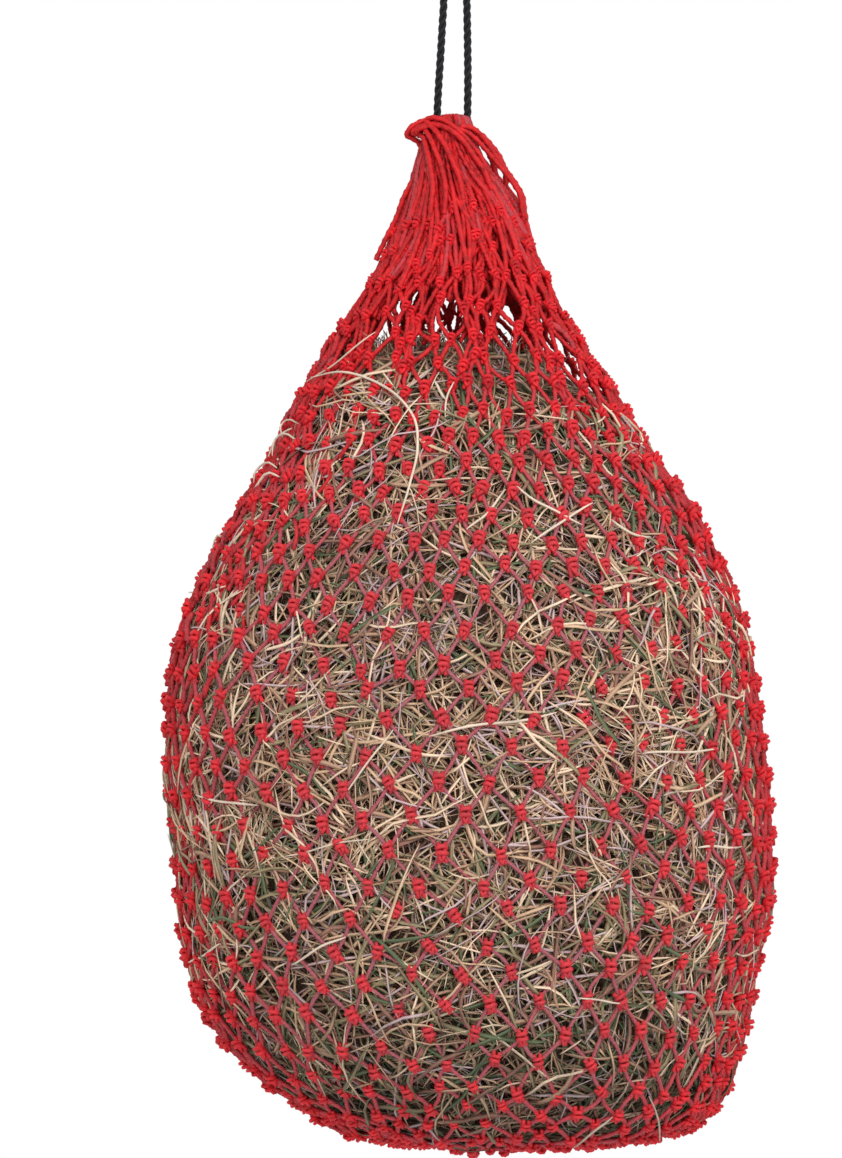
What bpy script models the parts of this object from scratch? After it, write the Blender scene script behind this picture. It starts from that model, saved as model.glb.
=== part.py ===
"""Hay net: a knotted small-mesh net full of hay, hung on a doubled black draw cord.

Frame: the origin is the hanging point, the inside top of the cord's hanging loop.
+Z is up, -Y is the front and +X is the right-hand side seen from the front. Metres.
"""

import math

import bmesh
import bpy
from mathutils import Vector

# Driving dimensions
CORD_DIAMETER = 0.006
CORD_RADIUS = CORD_DIAMETER / 2
TWINE_RADIUS = 0.0015
NET_WALL = 0.005  # netting with its knots, measured through the wall
MOUTH_WALL = 0.0035  # the mouth loops have no knots
HAY_CLEARANCE = 0.001
GAP = 0.0005  # between pieces that touch
SEGMENTS = 24  # round the bag
LEVELS = 32  # down the bag
DEPTH_SHARE = 0.90  # front-to-back size over width
ROUND_MOUTH_Z = -0.26  # above this height the mouth is round
OVAL_BODY_Z = -0.38  # below this height the full depth share applies

# The bag from the gathered mouth to the base: height, left edge, right edge
BAG_STATIONS = (
    (-0.2240, -0.0255, 0.0135),
    (-0.2530, -0.0350, 0.0240),
    (-0.2830, -0.0410, 0.0460),
    (-0.3140, -0.0540, 0.0590),
    (-0.3600, -0.0810, 0.0790),
    (-0.4350, -0.1220, 0.1220),
    (-0.5250, -0.1730, 0.1780),
    (-0.6150, -0.2130, 0.2220),
    (-0.7000, -0.2270, 0.2310),
    (-0.8150, -0.2160, 0.2380),
    (-0.8750, -0.2080, 0.2260),
    (-0.9250, -0.1840, 0.2160),
    (-0.9650, -0.1430, 0.2050),
    (-0.9950, -0.0980, 0.1800),
    (-1.0065, -0.0400, 0.1150),
    (-1.0065, 0.0260, 0.0500),
)

# Levels at which the netting and the hay are divided
MOUTH_END_LEVEL = 3
NECK_END_LEVEL = 8
NET_BANDS = (
    ("net_upper", 8, 14),
    ("net_middle", 14, 20),
    ("net_lower", 20, 26),
    ("net_base", 26, 32),
)
HAY_FLAKES = (
    ("hay_upper", 12, 16),
    ("hay_middle", 16, 20),
    ("hay_lower", 20, 24),
)
CROWN_LEVELS = (8, 12)
HAY_BASE_LEVELS = (24, 32)
CROWN_TOP = Vector((-0.035, 0.0, -0.398))
CROWN_STEPS = (0.45, 0.8)  # how far in towards the top each dome ring lies

# The draw cord
KNOT_CENTRE = Vector((-0.002, 0.0, -0.085))
KNOT_RADIUS = 0.0125
MOUTH_RING_CENTRE = Vector((-0.006, 0.0, -0.232))
MOUTH_RING_RADIUS = 0.0116
LOOP_ROUTE = (
    (-0.0055, 0.0, -0.0710),
    (-0.0090, 0.0, -0.0600),
    (-0.0145, 0.0, -0.0440),
    (-0.0165, 0.0, -0.0260),
    (-0.0140, 0.0, -0.0090),
    (-0.0075, 0.0, 0.0005),
    (0.0000, 0.0, 0.0030),
    (0.0075, 0.0, 0.0005),
    (0.0140, 0.0, -0.0090),
    (0.0160, 0.0, -0.0260),
    (0.0125, 0.0, -0.0440),
    (0.0060, 0.0, -0.0600),
    (0.0020, 0.0, -0.0710),
)
LEFT_RUN_ROUTE = (
    (-0.0066, 0.0, -0.0992),
    (-0.0092, 0.0, -0.1120),
    (-0.0115, 0.0, -0.1270),
    (-0.0128, 0.0, -0.1450),
    (-0.0146, 0.0, -0.1750),
    (-0.0165, 0.0, -0.2050),
    (-0.0176, 0.0, -0.2283),
)
RIGHT_RUN_ROUTE = (
    (0.0026, 0.0, -0.0992),
    (0.0040, 0.0, -0.1120),
    (0.0050, 0.0, -0.1270),
    (0.0054, 0.0, -0.1450),
    (0.0059, 0.0, -0.1750),
    (0.0060, 0.0, -0.2050),
    (0.0056, 0.0, -0.2283),
)
LEFT_TAIL_ROUTE = (
    (-0.0180, 0.0020, -0.0905),
    (-0.0235, 0.0030, -0.0940),
    (-0.0270, 0.0035, -0.1010),
    (-0.0285, 0.0035, -0.1120),
    (-0.0288, 0.0035, -0.1250),
)
RIGHT_TAIL_ROUTE = (
    (0.0140, -0.0020, -0.0905),
    (0.0195, -0.0030, -0.0940),
    (0.0232, -0.0035, -0.1005),
    (0.0248, -0.0035, -0.1100),
    (0.0250, -0.0035, -0.1190),
)
CORD_POINT_SPACING = 0.012

# Twine trim
LACING_ANGLE = math.pi / 2  # the seam runs down the back
MOUTH_TIE_CENTRE = Vector((-0.0375, 0.0, -0.2360))
MOUTH_TIE_RADIUS = 0.0040
BASE_RING_CENTRE = Vector((0.038, 0.0, -1.0040))
BASE_RING_RADIUS = 0.0085
BASE_RING_TWINE = 0.0020
BASE_KNOT_CENTRE = Vector((0.038, 0.0, -1.0050))
BASE_KNOT_RADIUS = 0.0035

# Colours: red, green, blue
BLACK_CORD = (0.012, 0.013, 0.015)
RED_TWINE = (0.55, 0.02, 0.035)
DARK_RED_TWINE = (0.36, 0.012, 0.022)
PALE_HAY = (0.52, 0.43, 0.22)
GREEN_HAY = (0.27, 0.26, 0.12)


def clear_scene():
    for item in list(bpy.data.objects):
        bpy.data.objects.remove(item, do_unlink=True)


def add_material(name, colour, roughness):
    material = bpy.data.materials.new(name)
    material.use_nodes = True
    shader = material.node_tree.nodes["Principled BSDF"]
    shader.inputs["Base Color"].default_value = (*colour, 1.0)
    shader.inputs["Roughness"].default_value = roughness
    shader.inputs["Metallic"].default_value = 0.0
    return material


def add_empty(name, place, parent=None):
    empty = bpy.data.objects.new(name, None)
    bpy.context.collection.objects.link(empty)
    empty.location = place
    if parent:
        empty.parent = parent
        empty.location = Vector(place) - world_place(parent)
    return empty


def world_place(item):
    place = Vector(item.location)
    while item.parent:
        item = item.parent
        place = place + Vector(item.location)
    return place


def add_mesh(name, points, faces, colour, roughness, parent=None):
    """A solid from points in the part's frame, with its origin on its parent's."""
    origin = world_place(parent) if parent else Vector((0.0, 0.0, 0.0))
    mesh = bpy.data.meshes.new(name)
    mesh.from_pydata([tuple(Vector(p) - origin) for p in points], [], faces)
    facing = bmesh.new()
    facing.from_mesh(mesh)
    bmesh.ops.recalc_face_normals(facing, faces=facing.faces)
    facing.to_mesh(mesh)
    facing.free()
    mesh.shade_smooth()
    mesh.set_sharp_from_angle(angle=math.radians(50))
    mesh.materials.append(add_material(name, colour, roughness))
    item = bpy.data.objects.new(name, mesh)
    bpy.context.collection.objects.link(item)
    item.parent = parent
    return item


# --- smooth curves through a few points -------------------------------------


def hermite(before, start, end, after, span_before, span, span_after, share):
    """Cubic between start and end, with slopes from the points either side."""
    slope_start = (end - before) / (span_before + span)
    slope_end = (after - start) / (span + span_after)
    square, cube = share**2, share**3
    return (
        (2 * cube - 3 * square + 1) * start
        + (cube - 2 * square + share) * span * slope_start
        + (3 * square - 2 * cube) * end
        + (cube - square) * span * slope_end
    )


class SmoothPath:
    """A smooth curve through the given points, read by the length along them."""

    def __init__(self, points, lengths=None):
        self.points = [Vector(point) for point in points]
        if lengths is None:
            lengths = [0.0]
            for one, two in zip(self.points, self.points[1:]):
                lengths.append(lengths[-1] + (two - one).length)
        self.lengths = lengths
        self.total = lengths[-1]

    def at(self, length):
        length = min(max(length, 0.0), self.total)
        last = len(self.points) - 2
        index = 0
        while index < last and self.lengths[index + 1] < length:
            index += 1
        before = max(index - 1, 0)
        after = min(index + 2, len(self.points) - 1)
        span = self.lengths[index + 1] - self.lengths[index]
        return hermite(
            self.points[before],
            self.points[index],
            self.points[index + 1],
            self.points[after],
            self.lengths[index] - self.lengths[before],
            span,
            self.lengths[after] - self.lengths[index + 1],
            (length - self.lengths[index]) / span,
        )

    def even(self, spacing):
        steps = max(2, round(self.total / spacing))
        return [self.at(self.total * step / steps) for step in range(steps + 1)]


# --- the bag's surface --------------------------------------------------------


def station_lengths():
    """Length down the bag's side to each station."""
    lengths = [0.0]
    for one, two in zip(BAG_STATIONS, BAG_STATIONS[1:]):
        drop = two[0] - one[0]
        spread = ((two[2] - two[1]) - (one[2] - one[1])) / 2
        lengths.append(lengths[-1] + math.hypot(drop, spread))
    return lengths


BAG_PROFILE = SmoothPath(BAG_STATIONS, station_lengths())


def depth_share(height):
    """1 at the round mouth, easing to the oval body's share."""
    ease = (ROUND_MOUTH_Z - height) / (ROUND_MOUTH_Z - OVAL_BODY_Z)
    ease = min(max(ease, 0.0), 1.0)
    ease = ease * ease * (3 - 2 * ease)
    return 1 + (DEPTH_SHARE - 1) * ease


def bag_surface(length, angle):
    height, left, right = BAG_PROFILE.at(length)
    half_width = (right - left) / 2
    half_depth = half_width * depth_share(height)
    return Vector(
        (
            (left + right) / 2 + half_width * math.cos(angle),
            half_depth * math.sin(angle),
            height,
        )
    )


def bag_point(length, angle, inset=0.0):
    """A point on the bag's outside, or that far inside it."""
    step = 0.002
    down = bag_surface(length + step, angle) - bag_surface(length - step, angle)
    along = bag_surface(length, angle + step) - bag_surface(length, angle - step)
    inward = along.cross(down).normalized()
    centre = bag_surface(length, angle + math.pi)
    if inward.dot(centre - bag_surface(length, angle)) < 0 and abs(inward.z) < 0.95:
        inward = -inward
    if inward.z < 0 and abs(inward.z) >= 0.95:
        inward = -inward
    return bag_surface(length, angle) + inward * inset


def level_length(level):
    return BAG_PROFILE.total * level / LEVELS


def bag_ring(length, inset):
    turn = 2 * math.pi / SEGMENTS
    return [bag_point(length, turn * step, inset) for step in range(SEGMENTS)]


def band_lengths(first, last):
    """The lengths of a band's rings, leaving a gap above the next band."""
    lengths = [level_length(level) for level in range(first, last + 1)]
    lengths[0] += GAP / 2
    lengths[-1] -= GAP / 2
    return lengths


def bridge(first, second):
    """Quads between two rings, each given by its points' numbers."""
    count = len(first)
    return [
        (first[i], first[(i + 1) % count], second[(i + 1) % count], second[i])
        for i in range(count)
    ]


def number_rings(rings):
    points = [point for ring in rings for point in ring]
    numbers = [
        list(range(index * SEGMENTS, (index + 1) * SEGMENTS))
        for index in range(len(rings))
    ]
    return points, numbers


# --- pieces -------------------------------------------------------------------


def add_net_band(name, first, last, wall, parent):
    """An open-ended wall of netting between two levels."""
    lengths = band_lengths(first, last)
    outside = [bag_ring(length, 0.0) for length in lengths]
    inside = [bag_ring(length, wall) for length in lengths]
    rings = outside + inside[::-1]
    points, numbers = number_rings(rings)
    faces = []
    for one, two in zip(numbers, numbers[1:] + numbers[:1]):
        faces += bridge(one, two)
    return add_mesh(name, points, faces, RED_TWINE, 0.6, parent)


def add_stack(name, rings, top, bottom, colour, parent):
    """A closed solid through rings, with a fan to a middle point at each end."""
    points, numbers = number_rings(rings)
    faces = []
    for one, two in zip(numbers, numbers[1:]):
        faces += bridge(one, two)
    for ring, middle in ((numbers[0], top), (numbers[-1], bottom)):
        points.append(middle)
        centre = len(points) - 1
        faces += [
            (ring[i], ring[(i + 1) % SEGMENTS], centre) for i in range(SEGMENTS)
        ]
    return add_mesh(name, points, faces, colour, 0.9, parent)


def ring_middle(ring):
    return sum(ring, Vector((0.0, 0.0, 0.0))) / len(ring)


def hay_rings(first, last):
    """Rings of hay just inside the netting, a gap below the flake above."""
    inset = NET_WALL + HAY_CLEARANCE
    rings = [bag_ring(level_length(level), inset) for level in range(first, last + 1)]
    rings[0] = [point - Vector((0.0, 0.0, GAP)) for point in rings[0]]
    return rings


def add_hay_flake(name, first, last, colour, parent):
    rings = hay_rings(first, last)
    return add_stack(
        name, rings, ring_middle(rings[0]), ring_middle(rings[-1]), colour, parent
    )


def add_hay_crown(parent):
    """The top of the hay, a dome that is highest left of the middle."""
    rings = hay_rings(*CROWN_LEVELS)
    edge = rings[0]
    dome = []
    for step in CROWN_STEPS[::-1]:
        lift = 1 - (1 - step) ** 2
        ring = []
        for point in edge:
            place = point.lerp(CROWN_TOP, step)
            place.z = point.z + (CROWN_TOP.z - point.z) * lift
            ring.append(place)
        dome.append(ring)
    rings = dome + rings
    bottom = ring_middle(rings[-1])
    return add_stack("hay_crown", rings, CROWN_TOP, bottom, PALE_HAY, parent)


def add_cord(name, route, radius, colour, parent, spacing):
    """A tube along a smooth route, with filled ends."""
    origin = world_place(parent) if parent else Vector((0.0, 0.0, 0.0))
    curve = bpy.data.curves.new(name, "CURVE")
    curve.dimensions = "3D"
    curve.bevel_depth = radius
    curve.bevel_resolution = 2
    curve.use_fill_caps = True
    curve.resolution_u = 1
    line = curve.splines.new("POLY")
    places = SmoothPath(route).even(spacing)
    line.points.add(len(places) - 1)
    for point, place in zip(line.points, places):
        point.co = (*(place - origin), 1.0)
    curve.materials.append(add_material(name, colour, 0.55))
    item = bpy.data.objects.new(name, curve)
    bpy.context.collection.objects.link(item)
    item.parent = parent
    return item


def add_ring(name, centre, radius, thickness, upright, colour, parent):
    """A turned ring of cord, lying flat, or upright and facing the front."""
    around, across = 24, 8
    points = []
    for i in range(around):
        turn = 2 * math.pi * i / around
        outward = Vector((math.cos(turn), math.sin(turn), 0.0))
        for j in range(across):
            tilt = 2 * math.pi * j / across
            reach = radius + thickness * math.cos(tilt)
            place = outward * reach + Vector((0.0, 0.0, thickness * math.sin(tilt)))
            if upright:
                place = Vector((place.x, place.z, place.y))
            points.append(centre + place)
    faces = []
    for i in range(around):
        here = [i * across + j for j in range(across)]
        following = [((i + 1) % around) * across + j for j in range(across)]
        faces += bridge(here, following)
    return add_mesh(name, points, faces, colour, 0.6, parent)


def add_ball(name, centre, radius, colour, parent, segments=16, rings=10):
    """A drawn-tight knot, as its round outer shape."""
    points = []
    for ring in range(1, rings):
        tilt = math.pi * ring / rings
        for step in range(segments):
            turn = 2 * math.pi * step / segments
            across = math.sin(tilt)
            direction = Vector(
                (across * math.cos(turn), across * math.sin(turn), math.cos(tilt))
            )
            points.append(centre + direction * radius)
    faces = []
    for ring in range(rings - 2):
        here = [ring * segments + step for step in range(segments)]
        faces += bridge(here, [number + segments for number in here])
    for ring_start, height in ((0, radius), ((rings - 2) * segments, -radius)):
        points.append(centre + Vector((0.0, 0.0, height)))
        pole = len(points) - 1
        for step in range(segments):
            one = ring_start + step
            two = ring_start + (step + 1) % segments
            faces.append((one, two, pole))
    return add_mesh(name, points, faces, colour, 0.6, parent)


def add_lacing(parent):
    """The twine that joins the net's two edges into a tube, down the back."""
    outside = -(TWINE_RADIUS + GAP)
    route = [
        bag_point(level_length(level), LACING_ANGLE, outside)
        for level in range(1, LEVELS - 1)
    ]
    spacing = BAG_PROFILE.total / LEVELS
    return add_cord(
        "side_lacing", route, TWINE_RADIUS, DARK_RED_TWINE, parent, spacing / 2
    )


def build():
    clear_scene()
    sideways_pivot = add_empty("swing_sideways_axis", KNOT_CENTRE)
    turn_pivot = add_empty("bag_turn_axis", KNOT_CENTRE, sideways_pivot)
    fore_aft_pivot = add_empty("swing_fore_aft_axis", KNOT_CENTRE, turn_pivot)
    bag = fore_aft_pivot

    add_cord(
        "hanging_loop", LOOP_ROUTE, CORD_RADIUS, BLACK_CORD, None, CORD_POINT_SPACING
    )
    add_ball("loop_knot", KNOT_CENTRE, KNOT_RADIUS, BLACK_CORD, sideways_pivot)
    for name, route, pivot in (
        ("cord_tail_left", LEFT_TAIL_ROUTE, turn_pivot),
        ("cord_tail_right", RIGHT_TAIL_ROUTE, turn_pivot),
        ("cord_run_left", LEFT_RUN_ROUTE, bag),
        ("cord_run_right", RIGHT_RUN_ROUTE, bag),
    ):
        add_cord(name, route, CORD_RADIUS, BLACK_CORD, pivot, CORD_POINT_SPACING)
    add_ring(
        "mouth_cord_ring",
        MOUTH_RING_CENTRE,
        MOUTH_RING_RADIUS,
        CORD_RADIUS,
        False,
        BLACK_CORD,
        bag,
    )

    add_net_band("mouth_loops", 0, MOUTH_END_LEVEL, MOUTH_WALL, bag)
    add_net_band("net_neck", MOUTH_END_LEVEL, NECK_END_LEVEL, NET_WALL, bag)
    for name, first, last in NET_BANDS:
        add_net_band(name, first, last, NET_WALL, bag)
    add_lacing(bag)
    add_ring(
        "mouth_tie_loop",
        MOUTH_TIE_CENTRE,
        MOUTH_TIE_RADIUS,
        TWINE_RADIUS,
        True,
        RED_TWINE,
        bag,
    )
    add_ring(
        "base_gather_cord",
        BASE_RING_CENTRE,
        BASE_RING_RADIUS,
        BASE_RING_TWINE,
        False,
        DARK_RED_TWINE,
        bag,
    )
    add_ball("base_knot", BASE_KNOT_CENTRE, BASE_KNOT_RADIUS, DARK_RED_TWINE, bag)

    add_hay_crown(bag)
    for name, first, last in HAY_FLAKES:
        add_hay_flake(name, first, last, PALE_HAY, bag)
    add_hay_flake("hay_base", *HAY_BASE_LEVELS, GREEN_HAY, bag)


build()
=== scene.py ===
"""The hay net's looks: twisted draw cord, knotted red netting and packed hay, built round the CAD frame.

Metres, +Z up, -Y the front; routes and tables of places are in millimetres. The origin is the inside top
of the draw cord's hanging loop. A place on the bag is a length down it from the mouth and an angle round
it: 0 is the right, a quarter turn the back, a half turn the left and three quarters the front.
"""

import math

import bpy
import numpy as np
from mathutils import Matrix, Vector
from mathutils.bvhtree import BVHTree


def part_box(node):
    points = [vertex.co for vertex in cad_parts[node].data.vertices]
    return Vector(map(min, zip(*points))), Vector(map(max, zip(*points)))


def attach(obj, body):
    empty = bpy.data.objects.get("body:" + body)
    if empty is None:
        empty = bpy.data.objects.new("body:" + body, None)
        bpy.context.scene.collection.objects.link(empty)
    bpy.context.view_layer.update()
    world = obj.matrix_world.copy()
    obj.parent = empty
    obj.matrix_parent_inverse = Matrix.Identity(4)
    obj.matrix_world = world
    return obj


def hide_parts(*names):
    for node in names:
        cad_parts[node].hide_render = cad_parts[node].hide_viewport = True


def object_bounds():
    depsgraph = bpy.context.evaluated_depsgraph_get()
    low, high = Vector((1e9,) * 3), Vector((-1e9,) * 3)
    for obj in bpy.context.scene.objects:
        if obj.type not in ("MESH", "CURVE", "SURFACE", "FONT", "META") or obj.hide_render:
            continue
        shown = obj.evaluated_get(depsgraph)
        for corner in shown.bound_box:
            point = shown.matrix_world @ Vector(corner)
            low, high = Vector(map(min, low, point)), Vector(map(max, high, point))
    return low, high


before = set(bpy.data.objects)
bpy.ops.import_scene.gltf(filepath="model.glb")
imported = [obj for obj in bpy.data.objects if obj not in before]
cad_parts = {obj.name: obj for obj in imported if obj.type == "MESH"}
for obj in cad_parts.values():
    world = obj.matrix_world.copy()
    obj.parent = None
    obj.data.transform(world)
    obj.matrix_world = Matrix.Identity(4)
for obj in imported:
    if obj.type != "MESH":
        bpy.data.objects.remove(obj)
CAD_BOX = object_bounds()
SEED = 7
TURN = 2 * math.pi
BACK_ANGLE = math.pi / 2

# Cord and twine
CORD_DIAMETER = 0.006
CORD_LAY = 0.020  # length of one turn of a strand
TWINE_RADIUS = 0.00162  # where the hay stretches it
SLACK_TWINE_RADIUS = 0.00215  # where it hangs slack, in the neck
TWINE_LAY = 0.020
TWINE_LOBE = 0.09
LACING_RADIUS = 0.0015

# Netting
MESH_BAR = 0.029  # knot to knot along one side of a mesh
MESHES_ROUND = 42
SIDE_CROWDING = (-0.04, 0.09)  # how the meshes narrow at the bag's sides, above and below its widest part
FIRST_KNOTS = 0.086  # length down the bag to the first row of knots
BUNCHES = 11  # gathers round the neck, with slots between them
BUNCHING = 0.055
BUNCHED_FROM = (0.07, 0.12)  # lengths down the bag
BUNCHED_TO = (0.19, 0.27)
SLACK_ENDS = (0.14, 0.28)  # lengths down the bag over which the netting pulls tight
SIDE_SLACK = 0.95
BASE_SLACK = 0.5
WEAR_ENDS = (0.12, 0.42)  # lengths down the bag over which the twine turns from clean to worn
LAST_KNOT_RADIUS = 0.060  # the base meshes run smooth inside this radius
NET_INSET = 0.0030  # twine centre inside the bag's outline
LUMP = 0.0040  # how far the hay pushes the netting in and out

# View and stage
VIEW_HEIGHT = 0.880  # of the object's plane, top to bottom of the frame
VIEW_CENTRE = Vector((-0.0296, 0.0, -0.575))
VIEW_DISTANCE = 6.0
SENSOR_WIDTH = 36.0
EVEN_LIGHT = 0.78
BACKDROP_LIGHT = 1.0
WHITE = (1.0, 1.0, 1.0, 1.0)
KEY_PLACE = (0.7, -2.6, 1.0)
KEY_AIM = (0.0, 0.0, -0.62)
KEY_SIZE = 1.4
KEY_POWER = 44.0
FLOOR_DROP = 0.35  # floor below the bag
FLOOR_RADIUS = 1.9
FLOOR_SIDES = 96
FLOOR_COLOUR = (0.85, 0.85, 0.85, 1.0)

# Colours
BLACK = (0.010, 0.011, 0.013)
TWINE_RED = (0.60, 0.010, 0.014)
KNOT_RED = (0.70, 0.010, 0.018)
WORN_RED = (0.42, 0.135, 0.165)
LACING_RED = (0.42, 0.008, 0.014)
WORN_LACING = (0.25, 0.07, 0.09)
# Painted shade: the hay's core is coloured far darker than its stems, for the shade deep between them.
PAINTED_SHADE_CORE_COLOURS = ((0.045, 0.026, 0.018), (0.15, 0.088, 0.058), (0.30, 0.20, 0.13))
CAUGHT_STEM = (0.78, 0.64, 0.50)
PAINTED_SHADE_HAY_TOP = -0.87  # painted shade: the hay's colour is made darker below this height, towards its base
PAINTED_SHADE_HAY_RATE = 1.8


# --- node trees ---


def set_inputs(tree, node, inputs):
    """Gives inputs a number, a colour or another node's output."""
    for name, value in inputs.items():
        if isinstance(value, bpy.types.NodeSocket):
            tree.links.new(value, node.inputs[name])
        else:
            node.inputs[name].default_value = value


def add_node(tree, kind, inputs, settings):
    node = tree.nodes.new("ShaderNode" + kind)
    for name, value in settings.items():
        setattr(node, name, value)
    set_inputs(tree, node, inputs)
    return node.outputs


class Nodes:
    """One material's node tree."""

    def __init__(self, name, roughness):
        self.material = bpy.data.materials.new(name)
        self.material.use_nodes = True
        self.tree = self.material.node_tree
        self.place = self.add("TexCoord", {})["Object"]
        self.shade({"Roughness": roughness})

    def add(self, kind, inputs, **settings):
        return add_node(self.tree, kind, inputs, settings)

    def shade(self, inputs):
        set_inputs(self.tree, self.tree.nodes["Principled BSDF"], inputs)

    def noise(self, scale, detail, roughness):
        inputs = {"Scale": scale, "Detail": detail, "Roughness": roughness, "Vector": self.place}
        return self.add("TexNoise", inputs)["Fac"]

    def ramp(self, value, stops):
        node = self.tree.nodes.new("ShaderNodeValToRGB")
        ramp = node.color_ramp
        while len(ramp.elements) < len(stops):
            ramp.elements.new(0.5)
        for element, (position, colour) in zip(ramp.elements, stops):
            element.position = position
            element.color = (*colour, 1.0)
        set_inputs(self.tree, node, {"Fac": value})
        return node.outputs["Color"]

    def math(self, operation, one, two):
        return self.add("Math", {0: one, 1: two}, operation=operation)["Value"]

    def below(self, top, rate):
        """Zero above a height, and less than zero below it."""
        height = self.add("SeparateXYZ", {"Vector": self.place})["Z"]
        return self.math("MULTIPLY", self.math("MINIMUM", self.math("SUBTRACT", height, top), 0.0), rate)

    def mix(self, share, one, two):
        return self.add("Mix", {"Factor": share, "A": one, "B": two}, data_type="RGBA")["Result"]

    def finish(self, colour, relief, distance, strength, roughness=None):
        """Colours the surface, and roughens it with a relief."""
        bump = self.add("Bump", {"Height": relief, "Distance": distance, "Strength": strength})
        self.shade({"Base Color": colour, "Normal": bump["Normal"]})
        if roughness:
            low, high = roughness
            varied = self.add("MapRange", {"Value": relief, "To Min": low, "To Max": high})
            self.shade({"Roughness": varied["Result"]})
        return self.material


# --- camera, light and floor ---


def add_object(name, data):
    item = bpy.data.objects.new(name, data)
    bpy.context.collection.objects.link(item)
    return item


def add_camera():
    data = bpy.data.cameras.new("camera")
    data.sensor_width = SENSOR_WIDTH
    data.lens = SENSOR_WIDTH * VIEW_DISTANCE / VIEW_HEIGHT
    data.clip_end = 50.0
    camera = add_object("camera", data)
    camera.location = VIEW_CENTRE - Vector((0.0, VIEW_DISTANCE, 0.0))
    camera.rotation_euler = (math.pi / 2, 0.0, 0.0)
    bpy.context.scene.camera = camera


def add_key_light():
    data = bpy.data.lights.new("key", "AREA")
    data.shape = "SQUARE"
    data.size = KEY_SIZE
    data.energy = KEY_POWER
    light = add_object("key", data)
    light.location = KEY_PLACE
    light.rotation_euler = (Vector(KEY_AIM) - Vector(KEY_PLACE)).to_track_quat("-Z", "Y").to_euler()


def add_world():
    """Even light all round, in front of a white backdrop."""
    world = bpy.data.worlds.new("studio")
    world.use_nodes = True
    tree = world.node_tree
    shade = tree.nodes["Background"]
    set_inputs(tree, shade, {"Color": WHITE, "Strength": EVEN_LIGHT})
    white = add_node(tree, "Background", {"Color": WHITE, "Strength": BACKDROP_LIGHT}, {})
    seen = add_node(tree, "LightPath", {}, {})["Is Camera Ray"]
    mix = add_node(tree, "MixShader", {"Fac": seen, 1: shade.outputs[0], 2: white[0]}, {})
    set_inputs(tree, tree.nodes["World Output"], {"Surface": mix[0]})
    bpy.context.scene.world = world


def floor_material():
    """Pale and even, fading into the backdrop towards its rim."""
    nodes = Nodes("floor", 0.9)
    distance = nodes.add("VectorMath", {0: nodes.place}, operation="LENGTH")["Value"]
    span = {"From Min": 0.3 * FLOOR_RADIUS, "From Max": FLOOR_RADIUS, "To Min": 1.0, "To Max": 0.0}
    fade = nodes.add("MapRange", {"Value": distance, **span}, interpolation_type="SMOOTHSTEP")["Result"]
    nodes.shade({"Base Color": FLOOR_COLOUR, "Alpha": fade})
    return nodes.material


def add_floor():
    mesh = bpy.data.meshes.new("floor")
    turns = [TURN * step / FLOOR_SIDES for step in range(FLOOR_SIDES)]
    rim = [(FLOOR_RADIUS * math.cos(turn), FLOOR_RADIUS * math.sin(turn), 0.0) for turn in turns]
    mesh.from_pydata(rim, [], [tuple(range(FLOOR_SIDES))])
    mesh.materials.append(floor_material())
    floor = add_object("floor", mesh)
    floor.location = (0.0, 0.0, CAD_BOX[0][2] - FLOOR_DROP)


def set_stage():
    bpy.context.scene.view_settings.view_transform = "Standard"
    add_camera()
    add_world()
    add_key_light()
    add_floor()


# --- materials ---


def shades(colour, *factors):
    return [tuple(channel * factor for channel in colour) for factor in factors]


def twine_material(name, colour, worn):
    """Twisted plastic twine: clean where it is slack, worn and dusty where it lies on the hay."""
    nodes = Nodes(name, 0.5)
    fibre = nodes.noise(scale=1800.0, detail=3.0, roughness=0.7)
    patch = nodes.noise(scale=130.0, detail=5.0, roughness=0.65)
    dark, mid, bright = shades(colour, 0.45, 1.0, 1.30)
    pale = tuple(channel + 0.05 for channel in bright)
    clean = nodes.ramp(patch, [(0.28, dark), (0.46, mid), (0.64, bright), (0.82, pale)])
    worn_dark, worn_mid, worn_pale = shades(worn, 0.6, 1.0, 1.5)
    dusty = nodes.ramp(fibre, [(0.30, worn_dark), (0.5, worn_mid), (0.72, worn_pale)])
    dust = nodes.add("Attribute", {}, attribute_name="dust")["Fac"]
    nodes.shade({"Specular IOR Level": 0.35})
    return nodes.finish(nodes.mix(dust, clean, dusty), fibre, 0.0004, 0.7, (0.42, 0.68))


def cord_material():
    nodes = Nodes("draw_cord", 0.6)
    fibre = nodes.noise(scale=1500.0, detail=4.0, roughness=0.75)
    dust = nodes.noise(scale=420.0, detail=5.0, roughness=0.7)
    dark, mid, grey = shades(BLACK, 0.5, 1.0, 5.0)
    nodes.shade({"Specular IOR Level": 0.3})
    colour = nodes.ramp(dust, [(0.3, dark), (0.58, mid), (0.82, grey)])
    return nodes.finish(colour, fibre, 0.0003, 0.8, (0.45, 0.75))


def hay_material(name, colour, spread=0.35):
    """One shade of dried stem: streaks and blotches round its colour, with painted shade darkening it towards
    the base.
    """
    nodes = Nodes(name, 0.6)
    blotch = nodes.noise(scale=45.0, detail=4.0, roughness=0.6)
    streak = nodes.noise(scale=900.0, detail=3.0, roughness=0.6)
    value = nodes.math("ADD", nodes.math("MULTIPLY", blotch, 0.6), nodes.math("MULTIPLY", streak, 0.4))
    # painted shade: the colour is pushed darker below a height, towards the base
    value = nodes.math("ADD", value, nodes.below(PAINTED_SHADE_HAY_TOP, PAINTED_SHADE_HAY_RATE))
    dark, mid, bright = shades(colour, 1 - 1.4 * spread, 1.0, 1 + spread)
    colour = nodes.ramp(value, [(0.3, dark), (0.5, mid), (0.72, bright)])
    return nodes.finish(colour, streak, 0.0003, 0.5, (0.45, 0.75))


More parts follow.
